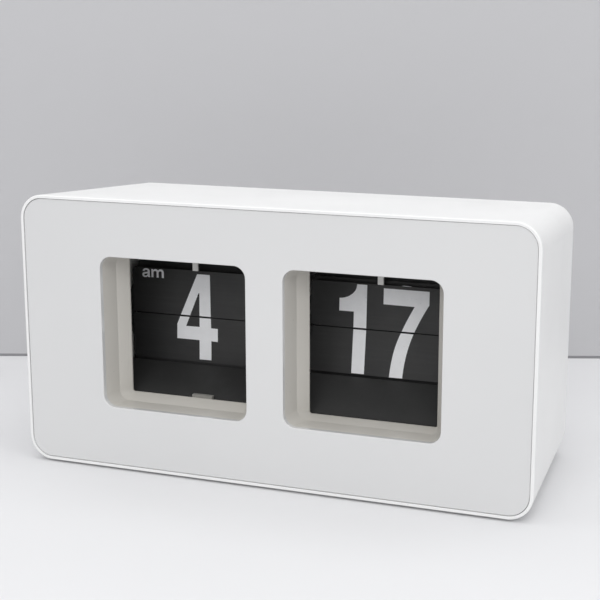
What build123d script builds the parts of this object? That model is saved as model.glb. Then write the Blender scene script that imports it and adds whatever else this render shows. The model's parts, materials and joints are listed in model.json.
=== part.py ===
"""Flip number clock: a tapered white case with two leaf displays, hours and minutes.

Millimetres. X runs left to right across the front, Y runs from the front to the back, and Z
is up. The working frame has Y = 0 on the front face and Z = 0 on the table; every part is
moved back by half the depth as it is written, so the finished frame's origin is the middle of
the footprint on the table. Angles about X are measured from +Y towards +Z.
"""
from build123d import *

import math
import os
from dataclasses import dataclass

# ---------------------------------------------------------------- case
CASE_WIDTH = 195.0
CASE_HEIGHT = 101.6
CASE_DEPTH = 78.0
CASE_CORNER = 9.0
CASE_TAPER = 4.0  # each side and the top draw in by this much at the back
CASE_WALL = 2.4
FOOT_HEIGHT = 0.8
FOOT_RADIUS = 5.0

RIM = 1.2  # width of the case edge that shows around the front panel
PANEL_GAP = 0.15
PANEL_RECESS = 0.25
PANEL_THICKNESS = 2.0
PANEL_EDGE_ROUND = 0.3
RIM_ROUND = 0.45
BEZEL_FLANGE = 1.25

# ---------------------------------------------------------------- windows
WINDOW_WIDTH = 57.8
WINDOW_HEIGHT = 56.7
WINDOW_CORNER = 4.5
WINDOW_X = 36.0  # the two windows are centred this far either side of the middle
WINDOW_Z = 52.7
WELL_DEPTH = 14.0
WELL_WALL = 1.4
WELL_STEP = 9.0  # depth at which a well's straight walls turn into the slope down to its lip
STEP_CORNER = 4.0
STEP_SIDE = 1.8  # the step and the lip stand in from the window's edge by these
STEP_TOP = 0.5
LIP_CORNER = 0.8
LIP_SIDE = 4.9
LIP_TOP = 2.3
HOUR_LIP_BOTTOM = 2.85
MINUTE_LIP_BOTTOM = 1.75
LIP_EDGE = 0.6

# ---------------------------------------------------------------- leaves and drums
DRUM_Y = 48.45
DRUM_Z = 52.9
PIVOT_RADIUS = 13.0
LEAF_THICKNESS = 0.12
MINUTE_LEAF_HEIGHT = 17.0
HOUR_LEAF_HEIGHT = 17.85
LEAF_CORNER = 1.5
LEAF_INNER_X = 4.0
LEAF_OUTER_X = 71.0
REST_LEAN = 1.0  # degrees that the shown upper leaf leans back against its stop
MINUTE_LEAVES = 60
HOUR_LEAVES = 24
MINUTE_FAN_TILT = 5.5  # degrees between a trailing leaf and the drum's tangent
HOUR_DROP = 3.75  # degrees that the hour drum stands further round than the minute drum
SPLIT_GAP = 0.36  # height of the dark line between the two shown leaves

DISC_THICKNESS = 1.5
DISC_RADIUS = 14.2
DISC_CLEARANCE = 0.3
EAR_HOLE = 0.4
TUBE_RADIUS = 4.0
AXLE_RADIUS = 2.0
RUNNING_FIT = 0.04
DISC_HOLE = 2.4
DISC_HOLE_RING = 8.6
DISC_HOLES = 6

CATCH_WIDTH = 2.2
CATCH_THICKNESS = 0.8
CATCH_OFFSET = -5.9  # the catches sit left of the leaves' middle
CATCH_GAP = 0.12  # from the shown leaf's top edge up to the catch's tip
CATCH_CLAMP_HALF = 4.0
CATCH_CLAMP_WALL = 1.2
CATCH_BAR_HEIGHT = 5.0
CATCH_BAR_THICKNESS = 2.0
CATCH_BAR_Z = 84.0
CATCH_BAR_FRONT = 36.0

GUARD_FRONT = 16.2
GUARD_BACK = 57.5
GUARD_Z = 17.6
GUARD_WALL = 1.2
GUARD_LIP = 4.0
APRON_THICKNESS = 1.4
APRON_CLEARANCE = 0.8  # from the shown lower leaf's tip to the apron's top edge
APRON_DROP = 0.4  # from the lip's edge down to the apron's front edge
BUFFER_X = -31.2
BUFFER_HALF = 4.1
BUFFER_THICKNESS = 1.6
BUFFER_RISE = 1.1  # the buffer's top edge shows this far above the lip
BUFFER_DROP = 3.0

# ---------------------------------------------------------------- movement frame
PLATE_THICKNESS = 1.5
END_PLATE_X = 73.0  # inner face of the left and right plates
CENTRE_PLATE = 1.8
PLATE_FRONT = 34.0
PLATE_BACK = 72.0
PLATE_BOTTOM = 8.0
PLATE_TOP = 92.0
CENTRE_PLATE_BACK = 69.0
CENTRE_CUT_FRONT = 57.5  # the centre plate is cut away behind this and below the next, for the bay
CENTRE_CUT_TOP = 25.0
GEAR_PLATE_X = 88.0
GEAR_PLATE_FRONT = 34.0
GEAR_PLATE_BACK = 73.5
GEAR_PLATE_BOTTOM = 13.0
GEAR_PLATE_TOP = 75.0
ROD_RADIUS = 1.5
NUT_RADIUS = 2.8
NUT_LENGTH = 2.0
SPACER_WALL = 0.8
PILLAR_RADIUS = 2.0
PILLAR_NECK = 1.25
CLIP_THICKNESS = 0.6
GROOVE_DEPTH = 0.4
PLATE_CORNER = 3.0
RODS = [(44.0, 87.0), (64.0, 86.0), (40.0, 13.0), (53.0, 13.0)]
PILLARS = [(38.0, 70.0), (64.0, 71.0), (37.0, 20.0), (66.0, 15.5)]
FOOT_SCREWS_Y = [42.0, 62.0]
FOOT_SCREW_X = 79.0
FOOT_TAB_HALF = 5.0
FOOT_BOSS = 3.2
FOOT_SCREW_LENGTH = 5.5

# ---------------------------------------------------------------- gears
MODULE = 0.5
ADDENDUM = 0.75
DEDENDUM = 1.0
BACKLASH = 0.08
PRESSURE_ANGLE = 20.0
MINUTE_GEAR_TEETH = 60
SET_GEAR_TEETH = 24
IDLER_PINION_TEETH = 12
IDLER_GEAR_TEETH = 48
MOTOR_PINION_TEETH = 12
IDLER_DIRECTION = -110.0  # where the idler lies, seen from the drum axis
MOTOR_DIRECTION = -30.0  # where the motor lies, seen from the idler
CARRY_MODULE = 0.62
CARRY_GEAR_TEETH = 48
CARRY_PINION_TEETH = 12
CARRY_DIRECTION = -42.0

MINUTE_GEAR_HOLE = 2.6
MINUTE_GEAR_HOLE_RING = 9.0
MINUTE_GEAR_HOLES = 6
IDLER_GEAR_HOLE = 2.0
IDLER_GEAR_HOLE_RING = 7.0
IDLER_GEAR_HOLES = 5

FIRST_GEAR_X = 75.5
FIRST_GEAR_WIDTH = 2.0
SECOND_GEAR_X = 77.9
SECOND_GEAR_WIDTH = 1.5

CARRY_HUB = 2.2
CARRY_BOSS = 2.8
CARRY_PIN = 1.2
STAR_TIPS = 8
STAR_OUTER = 3.0
STAR_INNER = 2.1
STAR_THICKNESS = 1.2
FINGER_LENGTH = 3.0
FINGER_WIDTH = 1.0
FINGER_ANGLE = 120.0  # where the carry finger stands on the minute drum's inner disc

THUMBWHEEL_RADIUS = 11.0
THUMBWHEEL_X = 79.2
THUMBWHEEL_WIDTH = 5.6
THUMBWHEEL_HUB = 3.0
SCALLOPS = 36
SCALLOP_RADIUS = 0.75
SCALLOP_OFFSET = 0.35  # the scallops' centres lie this far outside the wheel's edge
THUMBWHEEL_SLOT_GAP = 0.8
GEAR_POCKET_GAP = 0.6  # room around the set gear in the back cover's inner face

IDLER_ARBOR = 0.9
SET_ARBOR = 1.25
MOTOR_SHAFT = 0.75
ARBOR_END_PLAY = 0.2
MOTOR_RADIUS = 11.0
MOTOR_LENGTH = 7.2
MOTOR_BOSS_RADIUS = 2.6
MOTOR_BOSS_LENGTH = 0.7

# ---------------------------------------------------------------- battery bay
CELL_RADIUS = 7.1
CELL_LENGTH = 49.2
CELL_BUTTON_RADIUS = 2.75
CELL_BUTTON_LENGTH = 1.3
BAY_HALF_WIDTH = 56.0
BAY_BOTTOM = 5.6
BAY_TOP = 21.2
BAY_FRONT = 60.6
BAY_WALL = 1.4
COVER_THICKNESS = 2.2
DOOR_GAP = 0.2
HINGE_PIN = 0.6
HINGE_PIN_REACH = 1.6
DOOR_RECESS_RADIUS = 7.0
DOOR_GRIP_LINES = 4
DOOR_GRIP_START = 16.0
DOOR_GRIP_PITCH = 3.0
SADDLE_X = 25.0
SADDLE_DEPTH = 3.0
CONTACT_THICKNESS = 0.6
CONTACT_HALF = 5.5
CONTACT_PAD_RADIUS = 2.2
CONTACT_PAD_HEIGHT = 1.0
SPRING_WIRE = 0.35
SPRING_RADIUS = 4.6
SPRING_TURNS = 4
SPRING_CONE = -12.0

# ---------------------------------------------------------------- back cover
COVER_GAP = 0.2
COVER_POST_FRONT = 52.0
COVER_POST_RADIUS = 3.4
COVER_POST_INSET = CASE_WALL + 4.6
POST_RIB = 1.6
COVER_SCREW_LENGTH = 8.0
VENT_COUNT = 7
VENT_START_Z = 62.0
VENT_PITCH = 4.0
VENT_LENGTH = 36.0
VENT_HEIGHT = 1.4
FOOT_PAD_X = 80.0
FOOT_PADS_Y = [12.0, 66.0]

# ---------------------------------------------------------------- drive board and leads
BOARD_X = -80.5
BOARD_THICKNESS = 1.6
BOARD_LOW = 36.5
BOARD_HIGH = 69.5
BOARD_POSTS = [(40.0, 40.0), (66.0, 40.0), (40.0, 66.0), (66.0, 66.0)]
AXLE_CUT_OUT = 4.5
CRYSTAL = (45.0, 43.0)
CRYSTAL_RADIUS = 1.6
CRYSTAL_LENGTH = 8.0
CHIP_Y = (44.0, 52.0)
CHIP_Z = (62.0, 67.0)
CHIP_LEGS = 4
CHIP_LEG_PITCH = 1.9
LEAD_RADIUS = 0.6
LEAD_X = -85.0  # where the leads turn beside the board
LEAD_HOLE = (66.5, 15.0)
LEAD_HOLE_RADIUS = 2.6
LEAD_SPREAD = 1.2  # each battery lead runs this far to its side of the hole's middle
BATTERY_LEADS_BACK = 6.0
BATTERY_LEADS_TOP = [46.0, 52.0]
MOTOR_LEADS_Y = [48.0, 50.0]
MOTOR_LEADS_TOP = 44.0

# ---------------------------------------------------------------- fasteners
SCREW_RADIUS = 1.25
SCREW_HEAD = 2.4
SCREW_HEAD_HEIGHT = 1.3
SCREW_CLEARANCE = 0.15
SCREW_HEAD_CLEARANCE = 0.25

# ---------------------------------------------------------------- worked-out places
CASE_BOTTOM = FOOT_HEIGHT
CASE_TOP = FOOT_HEIGHT + CASE_HEIGHT
PANEL_BACK = PANEL_RECESS + PANEL_THICKNESS
REBATE = PANEL_BACK + BEZEL_FLANGE
COVER_FRONT = CASE_DEPTH - COVER_THICKNESS
LEAF_WIDTH = LEAF_OUTER_X - LEAF_INNER_X
LEAF_CENTRE_X = (LEAF_OUTER_X + LEAF_INNER_X) / 2
INNER_DISC_X = LEAF_INNER_X - DISC_CLEARANCE - DISC_THICKNESS
OUTER_DISC_X = LEAF_OUTER_X + DISC_CLEARANCE
MINUTE_PITCH = 360 / MINUTE_LEAVES
SPLIT_ANGLE = MINUTE_FAN_TILT + REST_LEAN - MINUTE_PITCH / 2
FIRST_CENTRES = MODULE * (MINUTE_GEAR_TEETH + IDLER_PINION_TEETH) / 2
SECOND_CENTRES = MODULE * (IDLER_GEAR_TEETH + MOTOR_PINION_TEETH) / 2
SET_CENTRES = MODULE * (MINUTE_GEAR_TEETH + SET_GEAR_TEETH) / 2
CARRY_CENTRES = CARRY_MODULE * (CARRY_GEAR_TEETH + CARRY_PINION_TEETH) / 2
TOTAL_DEPTH = DRUM_Y + SET_CENTRES + THUMBWHEEL_RADIUS
CELL_CENTRE = (BAY_FRONT + CELL_RADIUS + 0.3, (BAY_BOTTOM + BAY_TOP) / 2)
CELL_TOTAL = CELL_LENGTH + CELL_BUTTON_LENGTH
CELLS_START = BAY_HALF_WIDTH - CONTACT_THICKNESS - CONTACT_PAD_HEIGHT - 2 * CELL_TOTAL
DOOR_HINGE = (CASE_DEPTH - COVER_THICKNESS / 2, BAY_BOTTOM + COVER_THICKNESS / 2)
SCREW_SEAT_Y = CASE_DEPTH - SCREW_HEAD_HEIGHT - 0.1
FIRST_GEAR_END = FIRST_GEAR_X + FIRST_GEAR_WIDTH
MOTOR_FRONT = GEAR_PLATE_X - MOTOR_LENGTH
PLATE_OUTSIDE = END_PLATE_X + PLATE_THICKNESS
AXLE_LEFT = -PLATE_OUTSIDE - 2.0
AXLE_RIGHT = GEAR_PLATE_X + PLATE_THICKNESS
CLIP_X = -PLATE_OUTSIDE - CLIP_THICKNESS


def polar(centre, radius, degrees):
    """Point (y, z) at a distance and an angle from a centre."""
    angle = math.radians(degrees)
    return (centre[0] + radius * math.cos(angle), centre[1] + radius * math.sin(angle))


@dataclass
class LeafDrum:
    """The leaves of one drum."""

    side: int  # -1 left of the middle, 1 right of it
    count: int
    height: float
    drop: float

    @property
    def pitch(self):
        """Angle between two leaves."""
        return 360 / self.count

    @property
    def split_angle(self):
        """Angle above the drum's front of the line between the two shown leaves."""
        return SPLIT_ANGLE - self.drop

    @property
    def first_angle(self):
        """Angle above the drum's front at which the shown upper leaf has its pivot."""
        return self.split_angle + self.pitch / 2

    @property
    def below(self):
        """How far a leaf reaches past its pivot, so that the split line stays thin."""
        spacing = 2 * PIVOT_RADIUS * math.sin(math.radians(self.pitch / 2))
        return (spacing - SPLIT_GAP) / 2

    @property
    def tip_z(self):
        """Top edge of the shown upper leaf."""
        split_z = DRUM_Z + PIVOT_RADIUS * math.sin(math.radians(self.split_angle))
        return split_z + SPLIT_GAP / 2 + self.height


HOURS = LeafDrum(-1, HOUR_LEAVES, HOUR_LEAF_HEIGHT, HOUR_DROP)
MINUTES = LeafDrum(1, MINUTE_LEAVES, MINUTE_LEAF_HEIGHT, 0.0)
DRUM = (DRUM_Y, DRUM_Z)
IDLER = polar(DRUM, FIRST_CENTRES, IDLER_DIRECTION)
MOTOR = polar(IDLER, SECOND_CENTRES, MOTOR_DIRECTION)
SET_WHEEL = polar(DRUM, SET_CENTRES, 0.0)
CARRY = polar(DRUM, CARRY_CENTRES, CARRY_DIRECTION)


# ================================================================ shape helpers
def across(sketch, low_x, high_x):
    """Extrude a sketch drawn in (Y, Z) from one X to another."""
    return extrude(Plane.YZ.offset(low_x) * sketch, high_x - low_x)


def drawn_at(point, sketch):
    """Move a (Y, Z) sketch to a point."""
    return Pos(point[0], point[1]) * sketch


def rod(point, radius, low_x, high_x):
    """Round bar along X."""
    return across(drawn_at(point, Circle(radius)), low_x, high_x)


def front_face(width, height, corner, centre_x, centre_z, y):
    """Rounded rectangle standing in the plane at depth y."""
    plane = Plane((centre_x, y, centre_z), x_dir=(1, 0, 0), z_dir=(0, 1, 0))
    return plane * RectangleRounded(width, height, corner)


def front_slab(width, height, corner, centre_x, centre_z, low_y, high_y):
    """Rounded rectangular slab between two depths."""
    return extrude(front_face(width, height, corner, centre_x, centre_z, low_y), high_y - low_y)


def block(low, high):
    """Box from its lowest and highest corners."""
    size = [high[i] - low[i] for i in range(3)]
    centre = [(high[i] + low[i]) / 2 for i in range(3)]
    return Pos(*centre) * Box(*size)


def post(x, z, radius, low_y, high_y):
    """Round bar along Y."""
    return Pos(x, (low_y + high_y) / 2, z) * Rot(90, 0, 0) * Cylinder(radius, high_y - low_y)


def upright(x, y, radius, low_z, high_z):
    """Round bar along Z."""
    return Pos(x, y, (low_z + high_z) / 2) * Cylinder(radius, high_z - low_z)


def tapered_block(inset, low_y, high_y):
    """The case's outer form, drawn in by an inset, between two depths."""
    faces = []
    for y in (low_y, high_y):
        draw = CASE_TAPER * y / CASE_DEPTH
        width = CASE_WIDTH - 2 * draw - 2 * inset
        height = CASE_HEIGHT - draw - 2 * inset
        centre_z = CASE_BOTTOM + (CASE_HEIGHT - draw) / 2
        faces.append(front_face(width, height, CASE_CORNER - inset, 0, centre_z, y))
    return loft(faces, ruled=True)


# ================================================================ gears
def flank_angle(radius, base_radius):
    """Involute function of the pressure angle at a radius."""
    pressure = math.acos(min(1.0, base_radius / radius))
    return math.tan(pressure) - pressure


def gear_outline(teeth, module, start):
    """Involute gear face with one tooth centred at the start angle, in degrees."""
    pitch_radius = module * teeth / 2
    base_radius = pitch_radius * math.cos(math.radians(PRESSURE_ANGLE))
    tip_radius = pitch_radius + ADDENDUM * module
    root_radius = pitch_radius - DEDENDUM * module
    flank_start = max(base_radius, root_radius)
    half_tooth = math.pi / (2 * teeth) - BACKLASH / (2 * pitch_radius)
    half_base = half_tooth + flank_angle(pitch_radius, base_radius)
    steps = 5
    radii = [flank_start + (tip_radius - flank_start) * i / steps for i in range(steps + 1)]
    rising = [(r, -(half_base - flank_angle(r, base_radius))) for r in radii]
    if root_radius < flank_start:
        rising.insert(0, (root_radius, -half_base))
    falling = [(r, -a) for r, a in reversed(rising)]
    points = []
    for tooth in range(teeth):
        middle = math.radians(start) + 2 * math.pi * tooth / teeth
        for radius, angle in rising + falling:
            points.append((radius * math.cos(middle + angle), radius * math.sin(middle + angle)))
    return make_face(Polyline(*points, close=True))


def meshing_start(followed_teeth, followed_start, teeth, direction):
    """Start angle that puts a gear in mesh with another one lying the other way."""
    pitch = 360 / teeth
    followed_pitch = 360 / followed_teeth
    tooth_offset = (followed_start - direction) % followed_pitch
    return direction + 180 - tooth_offset * followed_teeth / teeth - pitch / 2


def gear(point, teeth, module, start, bore, low_x, high_x):
    """Spur gear with a round bore."""
    face = gear_outline(teeth, module, start) - Circle(bore)
    return across(drawn_at(point, face), low_x, high_x)


# ================================================================ fasteners
def pan_screw(length):
    """Cross-head screw standing on Z, its head above Z = 0 and its shank below."""
    head = Pos(0, 0, SCREW_HEAD_HEIGHT / 2) * Cylinder(SCREW_HEAD, SCREW_HEAD_HEIGHT)
    head = fillet(head.edges().group_by(Axis.Z)[-1], 0.5)
    slot = Pos(0, 0, SCREW_HEAD_HEIGHT) * (Box(2.6, 0.6, 1.2) + Box(0.6, 2.6, 1.2))
    shank = Pos(0, 0, -length / 2) * Cylinder(SCREW_RADIUS, length)
    return head - slot + chamfer(shank.edges().group_by(Axis.Z)[0], 0.5)


# ================================================================ case parts
def corner_posts():
    """Centres (x, z) of the posts that take the back cover's screws."""
    half = CASE_WIDTH / 2 - CASE_TAPER - COVER_POST_INSET
    low_z = CASE_BOTTOM + COVER_POST_INSET
    high_z = CASE_TOP - CASE_TAPER - COVER_POST_INSET
    return [(side * half, z) for side in (-1, 1) for z in (low_z, high_z)]


def make_cover_post(x, z):
    """One post with two ribs that join it to the case walls."""
    half = POST_RIB / 2
    wall_x = math.copysign(CASE_WIDTH / 2, x)
    wall_z = CASE_BOTTOM if z < WINDOW_Z else CASE_TOP
    low_x, high_x = sorted((x, wall_x))
    low_z, high_z = sorted((z, wall_z))
    shape = post(x, z, COVER_POST_RADIUS, COVER_POST_FRONT, COVER_FRONT)
    shape += block((low_x, COVER_POST_FRONT, z - half), (high_x, COVER_FRONT, z + half))
    shape += block((x - half, COVER_POST_FRONT, low_z), (x + half, COVER_FRONT, high_z))
    return shape & tapered_block(CASE_WALL / 2, 1, CASE_DEPTH - 1)


def make_case_sleeve():
    """Tapered tube with a thin rim in front, posts for the cover and for the movement."""
    shell = tapered_block(0, 0, CASE_DEPTH)
    shell = fillet(shell.edges().group_by(Axis.Y)[0], RIM_ROUND)
    inside = tapered_block(CASE_WALL, -1, CASE_DEPTH + 1)
    shape = shell - inside
    shape += [make_cover_post(x, z) for x, z in corner_posts()]
    for side in (-1, 1):
        for y in FOOT_SCREWS_Y:
            x = side * FOOT_SCREW_X
            shape += upright(x, y, FOOT_BOSS, CASE_BOTTOM + CASE_WALL / 2, PLATE_BOTTOM)
            shape -= upright(x, y, SCREW_RADIUS, CASE_BOTTOM + CASE_WALL, PLATE_BOTTOM + 1)
    for x, z in corner_posts():
        shape -= post(x, z, SCREW_RADIUS, COVER_FRONT - 8, COVER_FRONT + 1)
    rebate_width = CASE_WIDTH - 2 * RIM
    rebate_height = CASE_HEIGHT - 2 * RIM
    middle_z = CASE_BOTTOM + CASE_HEIGHT / 2
    shape -= front_slab(rebate_width, rebate_height, CASE_CORNER - RIM, 0, middle_z, -1, REBATE)
    return shape


def make_front_panel():
    """Glossy plate with the two window openings."""
    width = CASE_WIDTH - 2 * RIM - 2 * PANEL_GAP
    height = CASE_HEIGHT - 2 * RIM - 2 * PANEL_GAP
    corner = CASE_CORNER - RIM - PANEL_GAP
    middle_z = CASE_BOTTOM + CASE_HEIGHT / 2
    plate = front_slab(width, height, corner, 0, middle_z, PANEL_RECESS, PANEL_BACK)
    plate = fillet(plate.edges().group_by(Axis.Y)[0], PANEL_EDGE_ROUND)
    for side in (-1, 1):
        plate -= front_slab(
            WINDOW_WIDTH, WINDOW_HEIGHT, WINDOW_CORNER, side * WINDOW_X, WINDOW_Z, -1, PANEL_BACK + 1
        )
    window_edges = plate.edges().filter_by_position(Axis.Y, 0, PANEL_RECESS + 0.01).filter_by(
        lambda e: abs(e.center().X) < WINDOW_X + WINDOW_WIDTH / 2 + 1
        and abs(e.center().Z - WINDOW_Z) < WINDOW_HEIGHT / 2 + 1
    )
    return fillet(window_edges, PANEL_EDGE_ROUND)


def lip_bottom(side):
    """Height of the lower edge of a window's lip."""
    inset = HOUR_LIP_BOTTOM if side == HOURS.side else MINUTE_LIP_BOTTOM
    return WINDOW_Z - WINDOW_HEIGHT / 2 + inset


def lip_face(side, grow, y):
    """Outline of a window's lip, grown outwards, at a depth."""
    low_z = lip_bottom(side) - grow
    high_z = WINDOW_Z + WINDOW_HEIGHT / 2 - LIP_TOP + grow
    width = WINDOW_WIDTH - 2 * LIP_SIDE + 2 * grow
    middle_z = (low_z + high_z) / 2
    return front_face(width, high_z - low_z, LIP_CORNER + grow, side * WINDOW_X, middle_z, y)


def well_form(side, grow, end):
    """Hollow of a window well down to its lip at a depth, grown outwards for its outside."""
    centre_x = side * WINDOW_X
    width = WINDOW_WIDTH + 2 * grow
    height = WINDOW_HEIGHT + 2 * grow
    mouth = front_face(width, height, WINDOW_CORNER + grow, centre_x, WINDOW_Z, PANEL_BACK)
    width -= 2 * STEP_SIDE
    height -= 2 * STEP_TOP
    step = front_face(width, height, STEP_CORNER + grow, centre_x, WINDOW_Z, WELL_STEP)
    lip = lip_face(side, grow, end)
    return loft([mouth, step], ruled=True) + loft([step, lip], ruled=True)


def make_window_bezel():
    """Inner moulding: a flange behind the panel, and a well sloping to a lip behind each window."""
    width = CASE_WIDTH - 2 * RIM - 2 * PANEL_GAP
    height = CASE_HEIGHT - 2 * RIM - 2 * PANEL_GAP
    corner = CASE_CORNER - RIM - PANEL_GAP
    middle_z = CASE_BOTTOM + CASE_HEIGHT / 2
    shape = front_slab(width, height, corner, 0, middle_z, PANEL_BACK, REBATE)
    for side in (-1, 1):
        shape += well_form(side, WELL_WALL, WELL_DEPTH)
    for side in (-1, 1):
        shape -= well_form(side, 0, WELL_DEPTH - LIP_EDGE)
        shape -= extrude(lip_face(side, 0, PANEL_BACK), WELL_DEPTH)
    return shape


def cover_outline(low_y, high_y):
    """The back cover's edge, a little inside the case wall."""
    inset = CASE_WALL + COVER_GAP
    width = CASE_WIDTH - 2 * CASE_TAPER - 2 * inset
    height = CASE_HEIGHT - CASE_TAPER - 2 * inset
    centre_z = CASE_BOTTOM + (CASE_HEIGHT - CASE_TAPER) / 2
    return front_slab(width, height, CASE_CORNER - inset, 0, centre_z, low_y, high_y)


def make_back_cover():
    """Flat cover with the battery opening, the thumbwheel slot, vents and sunk screw holes."""
    shape = cover_outline(COVER_FRONT, CASE_DEPTH)
    low = (-BAY_HALF_WIDTH, COVER_FRONT - 1, BAY_BOTTOM - DOOR_GAP)
    shape -= block(low, (BAY_HALF_WIDTH, CASE_DEPTH + 1, BAY_TOP))
    shape -= rod(DOOR_HINGE, HINGE_PIN + RUNNING_FIT, -BAY_HALF_WIDTH - 2, BAY_HALF_WIDTH + 2)
    slot_half = math.sqrt(THUMBWHEEL_RADIUS**2 - (COVER_FRONT - SET_WHEEL[0]) ** 2) + 1.0
    slot_width = THUMBWHEEL_WIDTH + 2 * THUMBWHEEL_SLOT_GAP
    slot_x = THUMBWHEEL_X + THUMBWHEEL_WIDTH / 2
    shape -= front_slab(
        slot_width, 2 * slot_half, 1.5, slot_x, SET_WHEEL[1], COVER_FRONT - 1, CASE_DEPTH + 1
    )
    gear_tip = MODULE * (SET_GEAR_TEETH / 2 + ADDENDUM)
    shape -= rod(SET_WHEEL, gear_tip + GEAR_POCKET_GAP, FIRST_GEAR_X - GEAR_POCKET_GAP, slot_x)
    for x, z in corner_posts():
        shape -= post(x, z, SCREW_RADIUS + SCREW_CLEARANCE, COVER_FRONT - 1, CASE_DEPTH + 1)
        shape -= post(x, z, SCREW_HEAD + SCREW_HEAD_CLEARANCE, SCREW_SEAT_Y, CASE_DEPTH + 1)
    for step in range(VENT_COUNT):
        z = VENT_START_Z + VENT_PITCH * step
        shape -= front_slab(VENT_LENGTH, VENT_HEIGHT, 0.55, 0, z, COVER_FRONT - 1, CASE_DEPTH + 1)
    return shape


def make_cover_screws():
    """Four screws that hold the back cover."""
    screw = Rot(-90, 0, 0) * pan_screw(COVER_SCREW_LENGTH)
    return [Pos(x, SCREW_SEAT_Y, z) * screw for x, z in corner_posts()]


def make_rubber_feet():
    """Four round pads under the case."""
    places = [(side * FOOT_PAD_X, y) for side in (-1, 1) for y in FOOT_PADS_Y]
    return [upright(x, y, FOOT_RADIUS, 0, FOOT_HEIGHT) for x, y in places]


# ================================================================ battery bay
def make_battery_bay():
    """Open tray behind the battery door, with two saddles for the cells."""
    outer = block(
        (-BAY_HALF_WIDTH - BAY_WALL, BAY_FRONT - BAY_WALL, BAY_BOTTOM - BAY_WALL),
        (BAY_HALF_WIDTH + BAY_WALL, COVER_FRONT, BAY_TOP + BAY_WALL),
    )
    inner = block((-BAY_HALF_WIDTH, BAY_FRONT, BAY_BOTTOM), (BAY_HALF_WIDTH, COVER_FRONT + 1, BAY_TOP))
    shape = outer - inner
    for x in (-SADDLE_X, SADDLE_X):
        saddle = block((x - 1, BAY_FRONT, BAY_BOTTOM), (x + 1, BAY_FRONT + SADDLE_DEPTH, BAY_TOP))
        shape += saddle - rod(CELL_CENTRE, CELL_RADIUS, x - 2, x + 2)
    return shape


def make_battery_cell(index):
    """Round cell lying along X with its button towards +X."""
    start = CELLS_START + index * CELL_TOTAL
    body = rod(CELL_CENTRE, CELL_RADIUS, start, start + CELL_LENGTH)
    body = fillet(body.edges().filter_by(GeomType.CIRCLE), 0.5)
    return body + rod(CELL_CENTRE, CELL_BUTTON_RADIUS, start + CELL_LENGTH, start + CELL_TOTAL)


def make_negative_spring():
    """Conical coil contact that presses on the first cell."""
    height = CELLS_START + BAY_HALF_WIDTH - CONTACT_THICKNESS - 2 * SPRING_WIRE
    coil = Helix(height / SPRING_TURNS, height, SPRING_RADIUS, cone_angle=SPRING_CONE)
    profile = Plane(coil @ 0, z_dir=coil % 0) * Circle(SPRING_WIRE)
    spring = sweep(profile, path=coil, is_frenet=True)
    start = -BAY_HALF_WIDTH + CONTACT_THICKNESS + SPRING_WIRE
    return Pos(start, CELL_CENTRE[0], CELL_CENTRE[1]) * Rot(0, 90, 0) * spring


def make_contact_plate(side):
    """Thin metal plate on an end wall of the bay."""
    low_x, high_x = sorted((side * BAY_HALF_WIDTH, side * (BAY_HALF_WIDTH - CONTACT_THICKNESS)))
    low = (low_x, CELL_CENTRE[0] - CONTACT_HALF, BAY_BOTTOM + 1.0)
    return block(low, (high_x, CELL_CENTRE[0] + CONTACT_HALF, BAY_TOP - 1.0))


def make_positive_contact():
    """Contact plate with a raised pad that meets the last cell's button."""
    plate_face_x = BAY_HALF_WIDTH - CONTACT_THICKNESS
    pad = rod(CELL_CENTRE, CONTACT_PAD_RADIUS, plate_face_x - CONTACT_PAD_HEIGHT, plate_face_x)
    return make_contact_plate(1) + pad


def make_battery_door():
    """Door plate with a round lower edge, hinge pins, a finger recess and grip grooves."""
    half = BAY_HALF_WIDTH - DOOR_GAP
    pin_reach = BAY_HALF_WIDTH + HINGE_PIN_REACH
    shape = block((-half, COVER_FRONT, DOOR_HINGE[1]), (half, CASE_DEPTH, BAY_TOP - DOOR_GAP))
    shape += rod(DOOR_HINGE, COVER_THICKNESS / 2, -half, half)
    shape += rod(DOOR_HINGE, HINGE_PIN, -pin_reach, pin_reach)
    for step in range(DOOR_GRIP_LINES):
        for side in (-1, 1):
            x = side * (DOOR_GRIP_START + DOOR_GRIP_PITCH * step)
            shape -= front_slab(1.2, 7.0, 0.55, x, CELL_CENTRE[1], CASE_DEPTH - 0.4, CASE_DEPTH + 1)
    return shape - post(0, BAY_TOP - 0.5, DOOR_RECESS_RADIUS, CASE_DEPTH - 1.0, CASE_DEPTH + 1)


# ================================================================ leaves
def leaf_turn(drum, angle):
    """Lean of a leaf, in degrees from upright, whose pivot is at an angle up from the front."""
    tilt = drum.first_angle - REST_LEAN
    if angle < 180 + tilt:
        return angle - tilt
    return 180 + max(0.0, angle - 360 + tilt)


def leaf_of(drum, index):
    """Leaf number index of a drum, counted from the shown upper leaf over the top."""
    angle = drum.first_angle + index * drum.pitch
    pivot = polar(DRUM, PIVOT_RADIUS, 180 - angle)
    above = drum.height - drum.below
    outline = Pos(0, (above - drum.below) / 2) * Rectangle(LEAF_WIDTH, drum.height)
    outline = fillet(outline.vertices().group_by(Axis.Y)[-1], LEAF_CORNER)
    sheet = extrude(Plane.XZ.offset(-LEAF_THICKNESS / 2) * outline, LEAF_THICKNESS)
    place = Location((drum.side * LEAF_CENTRE_X, *pivot), (-leaf_turn(drum, angle), 0, 0))
    return place * sheet


def hanging_tip(drum):
    """Lower edge (y, z) of the shown lower leaf."""
    angle = drum.first_angle - drum.pitch
    pivot = polar(DRUM, PIVOT_RADIUS, 180 - angle)
    upward = 90 - leaf_turn(drum, angle + 360)
    return polar(pivot, drum.height - drum.below, upward)


def make_leaf_pack(drum):
    """All leaves of a drum apart from the two that are shown."""
    return [leaf_of(drum, index) for index in range(1, drum.count - 1)]


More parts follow.
